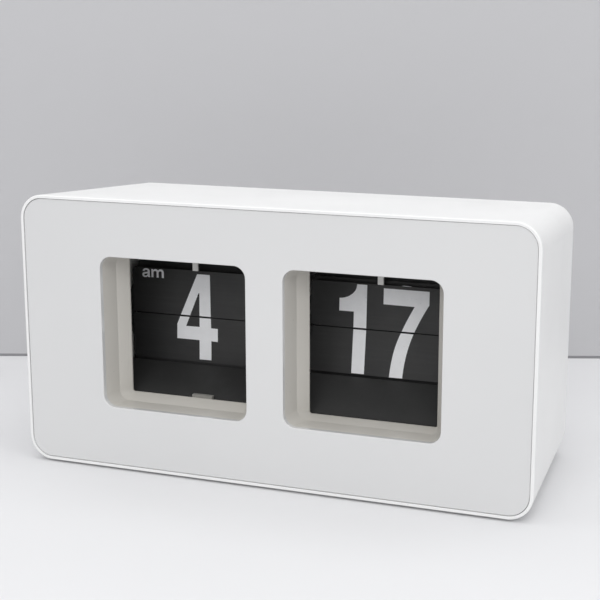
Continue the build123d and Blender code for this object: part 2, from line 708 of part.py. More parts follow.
# ================================================================ drums
def ear_holes(drum):
    """Ring of holes that the leaves' ears turn in."""
    angles = [180 - drum.first_angle - index * drum.pitch for index in range(drum.count)]
    return [Pos(*polar((0, 0), PIVOT_RADIUS, angle)) * Circle(EAR_HOLE) for angle in angles]


def lightening_holes(radius, ring, count):
    """Round openings between a disc's hub and its rim."""
    places = [polar((0, 0), ring, 360 * index / count) for index in range(count)]
    return [Pos(*place) * Circle(radius) for place in places]


def make_drum_disc(drum, face, low_x):
    """Drum disc with ear holes and lightening holes, pressed on the drum tube."""
    face = face - Circle(TUBE_RADIUS) - ear_holes(drum)
    face -= lightening_holes(DISC_HOLE, DISC_HOLE_RING, DISC_HOLES)
    return across(drawn_at(DRUM, face), low_x, low_x + DISC_THICKNESS)


def make_drum_tube(low_x, high_x):
    """Hub tube that runs on the main axle."""
    ring = Circle(TUBE_RADIUS) - Circle(AXLE_RADIUS + RUNNING_FIT)
    return across(drawn_at(DRUM, ring), low_x, high_x)


def make_hour_outer_disc():
    """Plain disc at the hour drum's left end."""
    return make_drum_disc(HOURS, Circle(DISC_RADIUS), -OUTER_DISC_X - DISC_THICKNESS)


def make_hour_inner_disc():
    """Inner disc of the hour drum, toothed for the carry pinion."""
    toothed = gear_outline(CARRY_GEAR_TEETH, CARRY_MODULE, 0)
    return make_drum_disc(HOURS, toothed, -INNER_DISC_X - DISC_THICKNESS)


def make_minute_inner_disc():
    """Inner disc of the minute drum, with the finger that moves the carry wheel each hour."""
    disc = make_drum_disc(MINUTES, Circle(DISC_RADIUS), INNER_DISC_X)
    place = polar((0, 0), DISC_RADIUS + 0.9, FINGER_ANGLE)
    finger = Pos(*place) * Rot(0, 0, FINGER_ANGLE) * Rectangle(FINGER_LENGTH, FINGER_WIDTH)
    low_x = INNER_DISC_X + DISC_THICKNESS / 2 - 0.05
    return disc + across(drawn_at(DRUM, finger), low_x, INNER_DISC_X + DISC_THICKNESS)


# ================================================================ carry wheel
def make_carry_pinion():
    """Pinion on the hour side with the hub that turns in the centre plate."""
    start = meshing_start(CARRY_GEAR_TEETH, 0, CARRY_PINION_TEETH, CARRY_DIRECTION)
    low_x = -INNER_DISC_X - DISC_THICKNESS
    face = gear_outline(CARRY_PINION_TEETH, CARRY_MODULE, start)
    shape = across(drawn_at(CARRY, face), low_x, -INNER_DISC_X)
    plate_side = CENTRE_PLATE / 2 + 0.1
    shape += rod(CARRY, CARRY_BOSS, -INNER_DISC_X, -plate_side)
    shape += rod(CARRY, CARRY_HUB, -plate_side, plate_side)
    return shape + rod(CARRY, CARRY_PIN, plate_side, plate_side + STAR_THICKNESS)


def make_carry_star():
    """Eight-pointed star on the minute side, pressed on the pinion's end."""
    low_x = CENTRE_PLATE / 2 + 0.1
    points = []
    for step in range(2 * STAR_TIPS):
        radius = STAR_OUTER if step % 2 == 0 else STAR_INNER
        points.append(polar((0, 0), radius, 180 / STAR_TIPS * step))
    face = make_face(Polyline(*points, close=True)) - Circle(CARRY_PIN)
    return across(drawn_at(CARRY, face), low_x, low_x + STAR_THICKNESS)


# ================================================================ gear train
def make_minute_gear():
    """Large gear on the right end of the minute drum's tube."""
    face = gear_outline(MINUTE_GEAR_TEETH, MODULE, 0) - Circle(TUBE_RADIUS)
    face -= lightening_holes(MINUTE_GEAR_HOLE, MINUTE_GEAR_HOLE_RING, MINUTE_GEAR_HOLES)
    return across(drawn_at(DRUM, face), FIRST_GEAR_X, FIRST_GEAR_END)


def make_idler_pinion():
    """Pinion that the minute gear runs on."""
    start = meshing_start(MINUTE_GEAR_TEETH, 0, IDLER_PINION_TEETH, IDLER_DIRECTION)
    low_x = FIRST_GEAR_X - 0.2
    return gear(IDLER, IDLER_PINION_TEETH, MODULE, start, IDLER_ARBOR, low_x, FIRST_GEAR_END + 0.2)


def make_idler_gear():
    """Large wheel beside the idler pinion."""
    face = gear_outline(IDLER_GEAR_TEETH, MODULE, 0) - Circle(IDLER_ARBOR)
    face -= lightening_holes(IDLER_GEAR_HOLE, IDLER_GEAR_HOLE_RING, IDLER_GEAR_HOLES)
    return across(drawn_at(IDLER, face), FIRST_GEAR_END + 0.2, SECOND_GEAR_X + SECOND_GEAR_WIDTH)


def make_idler_arbor():
    """Steel arbor of the idler, running in the right plate and the gear plate."""
    return rod(IDLER, IDLER_ARBOR, END_PLATE_X + ARBOR_END_PLAY, AXLE_RIGHT - ARBOR_END_PLAY)


def make_motor_pinion():
    """Pinion on the motor's shaft."""
    start = meshing_start(IDLER_GEAR_TEETH, 0, MOTOR_PINION_TEETH, MOTOR_DIRECTION)
    low_x = SECOND_GEAR_X - 0.1
    high_x = SECOND_GEAR_X + SECOND_GEAR_WIDTH + 0.2
    return gear(MOTOR, MOTOR_PINION_TEETH, MODULE, start, MOTOR_SHAFT, low_x, high_x)


def make_motor_shaft():
    """Steel shaft that turns in the motor."""
    return rod(MOTOR, MOTOR_SHAFT, SECOND_GEAR_X - 0.4, GEAR_PLATE_X - 1.4)


def make_motor_can():
    """Round motor housing with a bearing boss."""
    can = rod(MOTOR, MOTOR_RADIUS, MOTOR_FRONT, GEAR_PLATE_X)
    can = fillet(can.edges().filter_by(GeomType.CIRCLE).group_by(Axis.X)[0], 1.0)
    can += rod(MOTOR, MOTOR_BOSS_RADIUS, MOTOR_FRONT - MOTOR_BOSS_LENGTH, MOTOR_FRONT)
    return can - rod(MOTOR, MOTOR_SHAFT + RUNNING_FIT, MOTOR_FRONT - 1, GEAR_PLATE_X - 1)


def make_set_gear():
    """Gear between the thumbwheel and the minute gear."""
    start = meshing_start(MINUTE_GEAR_TEETH, 0, SET_GEAR_TEETH, 0.0)
    return gear(SET_WHEEL, SET_GEAR_TEETH, MODULE, start, SET_ARBOR, FIRST_GEAR_X, FIRST_GEAR_END)


def make_thumbwheel():
    """Wheel with a scalloped edge that stands out of the back cover, with its hub."""
    face = Circle(THUMBWHEEL_RADIUS) - Circle(SET_ARBOR)
    for index in range(SCALLOPS):
        angle = 360 * (index + 0.5) / SCALLOPS
        place = polar((0, 0), THUMBWHEEL_RADIUS + SCALLOP_OFFSET, angle)
        face -= Pos(*place) * Circle(SCALLOP_RADIUS)
    wheel = across(drawn_at(SET_WHEEL, face), THUMBWHEEL_X, THUMBWHEEL_X + THUMBWHEEL_WIDTH)
    ring = Circle(THUMBWHEEL_HUB) - Circle(SET_ARBOR)
    return wheel + across(drawn_at(SET_WHEEL, ring), FIRST_GEAR_END, THUMBWHEEL_X)


def make_set_arbor():
    """Steel arbor of the thumbwheel."""
    return rod(SET_WHEEL, SET_ARBOR, END_PLATE_X + ARBOR_END_PLAY, AXLE_RIGHT - ARBOR_END_PLAY)


# ================================================================ movement frame
def plate_face(low_y, high_y, low_z, high_z):
    """Rounded plate outline in (Y, Z)."""
    centre = ((low_y + high_y) / 2, (low_z + high_z) / 2)
    return drawn_at(centre, RectangleRounded(high_y - low_y, high_z - low_z, PLATE_CORNER))


def holes_at(points, radius):
    """Circles of one radius at several (y, z) points."""
    return [drawn_at(point, Circle(radius)) for point in points]


def plate_foot(side):
    """Two tabs that turn outwards from a plate's lower edge, with screw holes."""
    tabs = []
    low_x, high_x = sorted((side * END_PLATE_X, side * (FOOT_SCREW_X + FOOT_BOSS)))
    top = PLATE_BOTTOM + PLATE_THICKNESS
    for y in FOOT_SCREWS_Y:
        tab = block((low_x, y - FOOT_TAB_HALF, PLATE_BOTTOM), (high_x, y + FOOT_TAB_HALF, top))
        hole = upright(side * FOOT_SCREW_X, y, SCREW_RADIUS + 0.1, PLATE_BOTTOM - 1, top + 1)
        tabs.append(tab - hole)
    return tabs


def catch_bar_slot():
    """Section of the catch bar, cut through the plates that hold it."""
    back = CATCH_BAR_FRONT + CATCH_BAR_THICKNESS
    return plate_slot(CATCH_BAR_FRONT, back, CATCH_BAR_Z, CATCH_BAR_Z + CATCH_BAR_HEIGHT)


def plate_slot(low_y, high_y, low_z, high_z):
    """Plain rectangular opening in (Y, Z)."""
    centre = ((low_y + high_y) / 2, (low_z + high_z) / 2)
    return drawn_at(centre, Rectangle(high_y - low_y, high_z - low_z))


def arbor_holes():
    """Bearing holes of the idler and the thumbwheel."""
    return holes_at([IDLER], IDLER_ARBOR + RUNNING_FIT) + holes_at([SET_WHEEL], SET_ARBOR + RUNNING_FIT)


def make_left_plate():
    """Left side plate of the movement."""
    face = plate_face(PLATE_FRONT, PLATE_BACK, PLATE_BOTTOM, PLATE_TOP)
    face = face - holes_at([DRUM], AXLE_RADIUS) - holes_at(RODS, ROD_RADIUS) - catch_bar_slot()
    face -= holes_at(BOARD_POSTS, SCREW_RADIUS) + holes_at([LEAD_HOLE], LEAD_HOLE_RADIUS)
    plate = across(face, -PLATE_OUTSIDE, -END_PLATE_X)
    return plate + plate_foot(-1)


def make_right_plate():
    """Right side plate, with bearings for the gear train."""
    face = plate_face(PLATE_FRONT, PLATE_BACK, PLATE_BOTTOM, PLATE_TOP)
    face = face - holes_at([DRUM], TUBE_RADIUS + 0.4) - holes_at(RODS, ROD_RADIUS) - catch_bar_slot()
    face = face - arbor_holes() - holes_at(PILLARS, PILLAR_NECK)
    plate = across(face, END_PLATE_X, PLATE_OUTSIDE)
    return plate + plate_foot(1)


def make_centre_plate():
    """Plate between the two drums, cut away over the battery bay."""
    face = plate_face(PLATE_FRONT, CENTRE_PLATE_BACK, PLATE_BOTTOM, PLATE_TOP)
    face -= plate_slot(CENTRE_CUT_FRONT, CENTRE_PLATE_BACK + 1, 0, CENTRE_CUT_TOP)
    face = face - holes_at([DRUM], AXLE_RADIUS) - holes_at(RODS, ROD_RADIUS) - catch_bar_slot()
    face -= holes_at([CARRY], CARRY_HUB + RUNNING_FIT)
    return across(face, -CENTRE_PLATE / 2, CENTRE_PLATE / 2)


def make_gear_plate():
    """Outer plate that carries the gear arbors and the motor."""
    face = plate_face(GEAR_PLATE_FRONT, GEAR_PLATE_BACK, GEAR_PLATE_BOTTOM, GEAR_PLATE_TOP)
    face = face - holes_at([DRUM], AXLE_RADIUS) - holes_at(PILLARS, PILLAR_NECK) - arbor_holes()
    return across(face, GEAR_PLATE_X, AXLE_RIGHT)


def make_pillars():
    """Four shouldered posts between the right plate and the gear plate."""
    shapes = []
    for point in PILLARS:
        shape = rod(point, PILLAR_RADIUS, PLATE_OUTSIDE, GEAR_PLATE_X)
        shapes.append(shape + rod(point, PILLAR_NECK, END_PLATE_X, AXLE_RIGHT))
    return shapes


def make_frame_rods():
    """Four rods that tie the three plates together."""
    reach = PLATE_OUTSIDE + NUT_LENGTH
    return [rod(point, ROD_RADIUS, -reach, reach) for point in RODS]


def make_frame_nuts():
    """Hexagon nuts on both ends of the tie rods."""
    shapes = []
    face = RegularPolygon(NUT_RADIUS, 6) - Circle(ROD_RADIUS)
    for point in RODS:
        for low_x in (PLATE_OUTSIDE, -PLATE_OUTSIDE - NUT_LENGTH):
            shapes.append(across(drawn_at(point, face), low_x, low_x + NUT_LENGTH))
    return shapes


def make_frame_spacers():
    """Sleeves over the tie rods that set the distance between the plates."""
    shapes = []
    face = Circle(ROD_RADIUS + SPACER_WALL) - Circle(ROD_RADIUS)
    for point in RODS:
        shapes.append(across(drawn_at(point, face), -END_PLATE_X, -CENTRE_PLATE / 2))
        shapes.append(across(drawn_at(point, face), CENTRE_PLATE / 2, END_PLATE_X))
    return shapes


def make_foot_screws():
    """Screws through the plates' feet into the case."""
    seat = PLATE_BOTTOM + PLATE_THICKNESS
    places = [(side * FOOT_SCREW_X, y) for side in (-1, 1) for y in FOOT_SCREWS_Y]
    return [Pos(x, y, seat) * pan_screw(FOOT_SCREW_LENGTH) for x, y in places]


def make_main_axle():
    """Fixed steel axle that both drums turn on, grooved for its clip."""
    axle = rod(DRUM, AXLE_RADIUS, AXLE_LEFT, AXLE_RIGHT)
    groove = Circle(AXLE_RADIUS + 1) - Circle(AXLE_RADIUS - GROOVE_DEPTH)
    return axle - across(drawn_at(DRUM, groove), CLIP_X, CLIP_X + CLIP_THICKNESS)


def make_axle_clip():
    """Snap ring in the axle's groove."""
    mouth = Pos(0, -2.2) * Rectangle(2.0, 3.0)
    ring = Circle(AXLE_RADIUS + 1.2) - Circle(AXLE_RADIUS - GROOVE_DEPTH) - mouth
    return across(drawn_at(DRUM, ring), CLIP_X, CLIP_X + CLIP_THICKNESS)


def make_centre_washers():
    """Thin washers between the drum tubes and the centre plate."""
    face = Circle(TUBE_RADIUS) - Circle(AXLE_RADIUS)
    near = CENTRE_PLATE / 2
    far = INNER_DISC_X - 0.1
    return [across(drawn_at(DRUM, face), near, far), across(drawn_at(DRUM, face), -far, -near)]


# ================================================================ catches
def make_catch_bar():
    """Strip across the three plates that the catches hang from."""
    return across(catch_bar_slot(), -PLATE_OUTSIDE, PLATE_OUTSIDE)


def make_catch(drum):
    """Finger that holds back the shown leaf's top edge until the drum has moved on."""
    x = drum.side * LEAF_CENTRE_X + CATCH_OFFSET
    half = CATCH_WIDTH / 2
    front = CATCH_BAR_FRONT - CATCH_CLAMP_WALL
    top = CATCH_BAR_Z + CATCH_BAR_HEIGHT
    clamp = block(
        (x - CATCH_CLAMP_HALF, front, CATCH_BAR_Z - CATCH_CLAMP_WALL),
        (x + CATCH_CLAMP_HALF, CATCH_BAR_FRONT, top),
    )
    tip = drum.tip_z + CATCH_GAP
    return clamp + block((x - half, front, tip), (x + half, front + CATCH_THICKNESS, CATCH_BAR_Z))


def guard_profile(drum):
    """Section of a guard: an apron up to the shown lower leaf's tip, and a tray under the others."""
    tip_y, tip_z = hanging_tip(drum)
    low = (GUARD_FRONT, lip_bottom(drum.side) - APRON_DROP)
    high = (tip_y - APRON_CLEARANCE, tip_z - APRON_CLEARANCE)
    slope = (high[1] - low[1]) / (high[0] - low[0])
    floor = GUARD_Z + GUARD_WALL
    return make_face(Polyline(
        (GUARD_FRONT, GUARD_Z),
        low,
        high,
        (high[0], high[1] - APRON_THICKNESS),
        (GUARD_FRONT + GUARD_WALL, low[1] + slope * GUARD_WALL - APRON_THICKNESS),
        (GUARD_FRONT + GUARD_WALL, floor),
        (GUARD_BACK - GUARD_WALL, floor),
        (GUARD_BACK - GUARD_WALL, GUARD_Z + GUARD_LIP),
        (GUARD_BACK, GUARD_Z + GUARD_LIP),
        (GUARD_BACK, GUARD_Z),
        close=True,
    ))


def make_leaf_guards():
    """Dark guards in front of and under the hanging leaves, one each side of the centre plate."""
    inner = CENTRE_PLATE / 2
    hours = across(guard_profile(HOURS), -END_PLATE_X, -inner)
    return [hours, across(guard_profile(MINUTES), inner, END_PLATE_X)]


def make_leaf_buffer():
    """Small soft pad behind the hour well's lower lip."""
    edge = lip_bottom(HOURS.side)
    low = (BUFFER_X - BUFFER_HALF, WELL_DEPTH, edge - BUFFER_DROP)
    high = (BUFFER_X + BUFFER_HALF, WELL_DEPTH + BUFFER_THICKNESS, edge + BUFFER_RISE)
    return block(low, high)


# ================================================================ drive board
def make_drive_board():
    """Circuit board that times the motor, beside the left plate and cut out for the axle."""
    face = plate_face(BOARD_LOW, BOARD_HIGH, BOARD_LOW, BOARD_HIGH)
    face = face - holes_at(BOARD_POSTS, SCREW_RADIUS) - holes_at([DRUM], AXLE_CUT_OUT)
    return across(face, BOARD_X, BOARD_X + BOARD_THICKNESS)


def make_board_posts():
    """Stepped posts between the left plate and the board."""
    shapes = []
    for point in BOARD_POSTS:
        shape = rod(point, 2.0, BOARD_X + BOARD_THICKNESS, -PLATE_OUTSIDE)
        shapes.append(shape + rod(point, SCREW_RADIUS, BOARD_X - 0.6, -END_PLATE_X))
    return shapes


def make_crystal():
    """Small can of the quartz crystal."""
    can = rod(CRYSTAL, CRYSTAL_RADIUS, BOARD_X - CRYSTAL_LENGTH, BOARD_X)
    return fillet(can.edges().filter_by(GeomType.CIRCLE).group_by(Axis.X)[0], 0.4)


def make_timing_chip():
    """Timing chip with its legs."""
    shape = across(plate_slot(*CHIP_Y, *CHIP_Z), BOARD_X - 2.2, BOARD_X - 0.4)
    low_z = CHIP_Z[0] - 1.0
    high_z = CHIP_Z[1] + 1.0
    for index in range(CHIP_LEGS):
        y = CHIP_Y[0] + 1.2 + CHIP_LEG_PITCH * index
        leg = plate_slot(y - 0.25, y + 0.25, low_z, high_z)
        shape += across(leg, BOARD_X - 1.2, BOARD_X - 0.8)
        for z in (low_z, high_z - 0.5):
            foot = plate_slot(y - 0.25, y + 0.25, z, z + 0.5)
            shape += across(foot, BOARD_X - 1.2, BOARD_X)
    return shape


def lead(points, radii):
    """Insulated lead along straight runs joined by arcs."""
    path = FilletPolyline(*points, radius=radii)
    profile = Plane(path @ 0, z_dir=path % 0) * Circle(LEAD_RADIUS)
    return sweep(profile, path=path)


def make_battery_leads():
    """Two leads from the bay's left end, through the left plate, up to the board."""
    shapes = []
    start_x = -BAY_HALF_WIDTH - BAY_WALL
    z = LEAD_HOLE[1]
    for side, top in zip((-1, 1), BATTERY_LEADS_TOP):
        y = LEAD_HOLE[0] + side * LEAD_SPREAD
        end_y = y - BATTERY_LEADS_BACK
        route = [(start_x, y, z), (LEAD_X, y, z), (LEAD_X, end_y, top), (BOARD_X, end_y, top)]
        shapes.append(lead(route, [4.0, 2.0]))
    return shapes


def make_motor_leads():
    """Two leads from the board, along the case floor, up to the motor's flank."""
    shapes = []
    floor = CASE_BOTTOM + CASE_WALL + 2.0
    end_x = MOTOR_FRONT + MOTOR_LENGTH / 2
    can = rod(MOTOR, MOTOR_RADIUS, MOTOR_FRONT, GEAR_PLATE_X)
    for y in MOTOR_LEADS_Y:
        route = [
            (BOARD_X, y, MOTOR_LEADS_TOP),
            (LEAD_X, y, MOTOR_LEADS_TOP),
            (LEAD_X, y, floor),
            (end_x, y, floor),
            (end_x, y, MOTOR[1] - MOTOR_RADIUS / 2),
        ]
        shapes.append((lead(route, [2.0, 4.0, 4.0]) - can).solid())
    return shapes


# ================================================================ assembly
PARTS = {
    "case_sleeve": make_case_sleeve,
    "front_panel": make_front_panel,
    "window_bezel": make_window_bezel,
    "back_cover": make_back_cover,
    "cover_screws": make_cover_screws,
    "rubber_feet": make_rubber_feet,
    "battery_bay": make_battery_bay,
    "battery_cell_1": lambda: make_battery_cell(0),
    "battery_cell_2": lambda: make_battery_cell(1),
    "negative_spring": make_negative_spring,
    "negative_plate": lambda: make_contact_plate(-1),
    "positive_contact": make_positive_contact,
    "battery_door": make_battery_door,
    "left_plate": make_left_plate,
    "centre_plate": make_centre_plate,
    "right_plate": make_right_plate,
    "gear_plate": make_gear_plate,
    "gear_pillars": make_pillars,
    "frame_rods": make_frame_rods,
    "frame_spacers": make_frame_spacers,
    "frame_nuts": make_frame_nuts,
    "foot_screws": make_foot_screws,
    "main_axle": make_main_axle,
    "axle_clip": make_axle_clip,
    "centre_washers": make_centre_washers,
    "hour_leaf_pack": lambda: make_leaf_pack(HOURS),
    "minute_leaf_pack": lambda: make_leaf_pack(MINUTES),
    "hour_upper_leaf": lambda: leaf_of(HOURS, 0),
    "minute_upper_leaf": lambda: leaf_of(MINUTES, 0),
    "hour_lower_leaf": lambda: leaf_of(HOURS, HOUR_LEAVES - 1),
    "minute_lower_leaf": lambda: leaf_of(MINUTES, MINUTE_LEAVES - 1),
    "hour_drum_tube": lambda: make_drum_tube(-OUTER_DISC_X - DISC_THICKNESS, -INNER_DISC_X),
    "hour_outer_disc": make_hour_outer_disc,
    "hour_inner_disc": make_hour_inner_disc,
    "minute_drum_tube": lambda: make_drum_tube(INNER_DISC_X, FIRST_GEAR_END),
    "minute_outer_disc": lambda: make_drum_disc(MINUTES, Circle(DISC_RADIUS), OUTER_DISC_X),
    "minute_inner_disc": make_minute_inner_disc,
    "minute_gear": make_minute_gear,
    "carry_pinion": make_carry_pinion,
    "carry_star": make_carry_star,
    "idler_pinion": make_idler_pinion,
    "idler_gear": make_idler_gear,
    "idler_arbor": make_idler_arbor,
    "motor_can": make_motor_can,
    "motor_shaft": make_motor_shaft,
    "motor_pinion": make_motor_pinion,
    "set_gear": make_set_gear,
    "set_thumbwheel": make_thumbwheel,
    "set_arbor": make_set_arbor,
    "catch_bar": make_catch_bar,
    "hour_catch": lambda: make_catch(HOURS),
    "minute_catch": lambda: make_catch(MINUTES),
    "leaf_guards": make_leaf_guards,
    "leaf_buffer": make_leaf_buffer,
    "drive_board": make_drive_board,
    "board_posts": make_board_posts,
    "quartz_crystal": make_crystal,
    "timing_chip": make_timing_chip,
    "battery_leads": make_battery_leads,
    "motor_leads": make_motor_leads,
}


def main():
    """Build every part and write it in the finished frame."""
    os.makedirs("parts", exist_ok=True)
    shift = Pos(0, -TOTAL_DEPTH / 2, 0)
    for name, make in PARTS.items():
        made = make()
        solids = list(made) if isinstance(made, list) else made.solids()
        placed = [shift * solid for solid in solids]
        whole = placed[0] if len(placed) == 1 else Compound(children=placed)
        export_step(whole, f"parts/{name}.step")


main()
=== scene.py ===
import json
import math

import bmesh
import bpy
from mathutils import Matrix, Vector
from mathutils.geometry import interpolate_bezier


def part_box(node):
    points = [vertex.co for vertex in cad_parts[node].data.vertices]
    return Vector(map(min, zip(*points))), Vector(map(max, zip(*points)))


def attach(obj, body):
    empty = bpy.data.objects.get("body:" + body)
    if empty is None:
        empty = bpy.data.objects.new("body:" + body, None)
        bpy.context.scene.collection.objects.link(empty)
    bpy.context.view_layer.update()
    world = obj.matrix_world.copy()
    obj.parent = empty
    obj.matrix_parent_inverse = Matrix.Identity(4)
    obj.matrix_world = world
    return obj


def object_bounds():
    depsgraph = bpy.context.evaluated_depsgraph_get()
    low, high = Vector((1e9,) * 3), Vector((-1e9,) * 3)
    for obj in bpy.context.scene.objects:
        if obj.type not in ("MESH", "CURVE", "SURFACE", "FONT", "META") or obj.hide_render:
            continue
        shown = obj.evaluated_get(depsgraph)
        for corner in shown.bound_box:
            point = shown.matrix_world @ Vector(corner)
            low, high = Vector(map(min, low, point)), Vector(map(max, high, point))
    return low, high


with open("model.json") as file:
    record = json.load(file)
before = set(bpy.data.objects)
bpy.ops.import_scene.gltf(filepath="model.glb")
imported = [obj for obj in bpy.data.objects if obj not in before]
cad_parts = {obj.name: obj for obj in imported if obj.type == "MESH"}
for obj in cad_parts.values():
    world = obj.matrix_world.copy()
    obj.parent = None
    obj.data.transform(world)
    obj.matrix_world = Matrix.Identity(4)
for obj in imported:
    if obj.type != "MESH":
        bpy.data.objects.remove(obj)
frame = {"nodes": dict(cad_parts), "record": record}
CAD_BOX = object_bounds()
NODES = frame["nodes"]
MM = 0.001

CAMERA_PLACE = (178.172, -451.819, 165.118)  # millimetres
CAMERA_YAW = 19.983  # degrees, to the left of straight at the clock's front
CAMERA_PITCH = -12.001
CAMERA_ROLL = 0.24
CAMERA_LENS = 78.705
CAMERA_SHIFT = -0.0667

INK_PROUD = 0.010 * MM  # how far the print stands out of its leaf
INK_SUNK = 0.012 * MM  # and how far it reaches in
PRINT_MARGIN = 0.18 * MM  # from the split line to the print
NEXT_DROP = 0.9 * MM  # the next numeral stands this much lower, hidden by the shown leaf
CURVE_POINTS = 14  # on each curve of an outline
BROAD_FACE = 20 * MM * MM  # a leaf's edges are all smaller than this
HALF_LEAF = 9 * MM  # the leaves of a pack are compared this far over their split

FLOOR_REACH = 4.0
WALL_REACH = 2.0
WALL_HEIGHT = 0.45
WALL_FOOT = (-0.040, 0.149)
PAINTED_SHADE_LINE_HEIGHT = 0.0013  # painted shade: a dark line where the wall meets the floor
# how far the sheet of painted shade stands in front of the wall
PAINTED_SHADE_LINE_AHEAD = 0.001

ROOM_COLOUR = (0.975, 0.985, 1.0)
ROOM_STRENGTH = 0.51
LIGHTS = [  # name, place, target, size in metres, watts
    ("overhead", (0.0, 0.0, 1.1), (0.0, 0.02, 0.0), (1.3, 1.0), 6.3),
    ("front", (0.25, -1.3, 0.95), (0.0, 0.0, 0.06), (1.2, 0.9), 9.0),
    ("left", (-1.2, -0.5, 0.8), (0.0, 0.0, 0.05), (0.9, 0.9), 1.8),
    ("right", (1.3, -0.4, 0.8), (0.0, 0.0, 0.05), (0.9, 0.9), 3.7),
]


# --- camera -------------------------------------------------------------------------------

def make_camera():
    """The camera, right of the clock and a little above it, looking left and down."""
    yaw, pitch, roll = (math.radians(a) for a in (CAMERA_YAW, CAMERA_PITCH, CAMERA_ROLL))
    level = math.cos(pitch)
    ahead = Vector((-math.sin(yaw) * level, math.cos(yaw) * level, math.sin(pitch)))
    sideways = ahead.cross(Vector((0, 0, 1))).normalized()
    upright = sideways.cross(ahead)
    right = sideways * math.cos(roll) + upright * math.sin(roll)
    up = upright * math.cos(roll) - sideways * math.sin(roll)
    data = bpy.data.cameras.new("camera")
    data.lens = CAMERA_LENS
    data.sensor_width = 36.0
    data.shift_x = CAMERA_SHIFT
    data.clip_start = 0.01
    camera = bpy.data.objects.new("camera", data)
    bpy.context.scene.collection.objects.link(camera)
    turn = Matrix((right, up, -ahead)).transposed().to_4x4()
    camera.matrix_world = Matrix.Translation(Vector(CAMERA_PLACE) * MM) @ turn
    bpy.context.scene.camera = camera


# --- materials ----------------------------------------------------------------------------

class Skin:
    """A node material in the making, its colour, roughness and fine relief built from noises."""

    def __init__(self, name, roughness, metallic=0.0, **sockets):
        self.material = bpy.data.materials.new(name)
        self.material.use_nodes = True
        self.nodes = self.material.node_tree.nodes
        self.links = self.material.node_tree.links
        self.shader = self.nodes["Principled BSDF"]
        self.place = self.nodes.new("ShaderNodeTexCoord").outputs["Object"]
        self.bump = None
        self.shader.inputs["Roughness"].default_value = roughness
        self.shader.inputs["Metallic"].default_value = metallic
        for socket, value in sockets.items():
            self.shader.inputs[socket.replace("_", " ")].default_value = value

    def stretched(self, stretch, turn=(0, 0, 0)):
        """The object coordinates scaled by stretch after a turn in degrees."""
        node = self.nodes.new("ShaderNodeMapping")
        node.inputs["Scale"].default_value = stretch
        node.inputs["Rotation"].default_value = [math.radians(a) for a in turn]
        self.links.new(self.place, node.inputs["Vector"])
        return node.outputs["Vector"]

    def noise(self, scale, detail=3.0, rough=0.5, stretch=None, offset=0.0):
        """A noise of about 1 / scale metres, from 0 to 1."""
        node = self.nodes.new("ShaderNodeTexNoise")
        node.noise_dimensions = "4D"
        node.inputs["W"].default_value = offset
        node.inputs["Scale"].default_value = scale
        node.inputs["Detail"].default_value = detail
        node.inputs["Roughness"].default_value = rough
        self.links.new(self.stretched(stretch) if stretch else self.place, node.inputs["Vector"])
        return node.outputs["Fac"]

    def axis(self, name):
        """One of the object coordinates, X, Y or Z, in metres."""
        node = self.nodes.new("ShaderNodeSeparateXYZ")
        self.links.new(self.place, node.inputs["Vector"])
        return node.outputs[name]

    def spread(self, value, low, high, out_low=0.0, out_high=1.0, smooth=False):
        """value taken from low..high to out_low..out_high, and held at the ends."""
        node = self.nodes.new("ShaderNodeMapRange")
        node.interpolation_type = "SMOOTHSTEP" if smooth else "LINEAR"
        ends = {"From Min": low, "From Max": high, "To Min": out_low, "To Max": out_high}
        for socket, number in ends.items():
            node.inputs[socket].default_value = number
        self.links.new(value, node.inputs["Value"])
        return node.outputs["Result"]

    def maths(self, a, b, operation="MULTIPLY"):
        """a and b, each an output or a number, put together."""
        node = self.nodes.new("ShaderNodeMath")
        node.operation = operation
        for socket, value in zip(node.inputs, (a, b)):
            if isinstance(value, (int, float)):
                socket.default_value = value
            else:
                self.links.new(value, socket)
        return node.outputs["Value"]

    def blend(self, fac, a, b):
        """Colour a where fac is 0 and b where it is 1. Each is a triple or another blend."""
        node = self.nodes.new("ShaderNodeMix")
        node.data_type = "RGBA"  # its colour sockets are inputs 6 and 7 and output 2
        self.links.new(fac, node.inputs["Factor"])
        for socket, value in zip((node.inputs[6], node.inputs[7]), (a, b)):
            if isinstance(value, tuple):
                socket.default_value = (*value, 1.0)
            else:
                self.links.new(value, socket)
        return node.outputs[2]

    def colour(self, output):
        self.links.new(output, self.shader.inputs["Base Color"])

    def rough(self, output):
        self.links.new(output, self.shader.inputs["Roughness"])

    def relief(self, value, depth):
        """Adds relief of this depth in metres for value from 0 to 1."""
        node = self.nodes.new("ShaderNodeBump")
        node.inputs["Strength"].default_value = 1.0
        node.inputs["Distance"].default_value = depth
        self.links.new(value, node.inputs["Height"])
        if self.bump:
            self.links.new(self.bump, node.inputs["Normal"])
        self.bump = node.outputs["Normal"]
        self.links.new(self.bump, self.shader.inputs["Normal"])
        return self


def shade(colour, by):
    """A colour made darker, or lighter where by is over 1."""
    return tuple(c * by for c in colour)


def plastic(name, colour, roughness, grain=1500.0, depth=0.000006, drift=0.05, **sockets):
    """Moulded plastic: a slow drift of colour, a fine grain, and handling marks in its gloss."""
    skin = Skin(name, roughness, **sockets)
    slow = skin.spread(skin.noise(22.0, 4.0), 0.3, 0.7)
    tint = skin.blend(slow, shade(colour, 1.0 - drift), colour)
    specks = skin.spread(skin.noise(900.0, 1.0, offset=3.0), 0.73, 0.78)
    skin.colour(skin.blend(skin.maths(specks, 0.25), tint, shade(colour, 0.55)))
    marks = skin.noise(65.0, 5.0, 0.65, offset=7.0)
    skin.rough(skin.spread(marks, 0.3, 0.75, roughness * 0.85, min(1.0, roughness * 1.2)))
    skin.relief(skin.noise(90.0, 2.0, offset=5.0), depth * 3)
    return skin.relief(skin.noise(grain, 2.0, 0.6), depth)


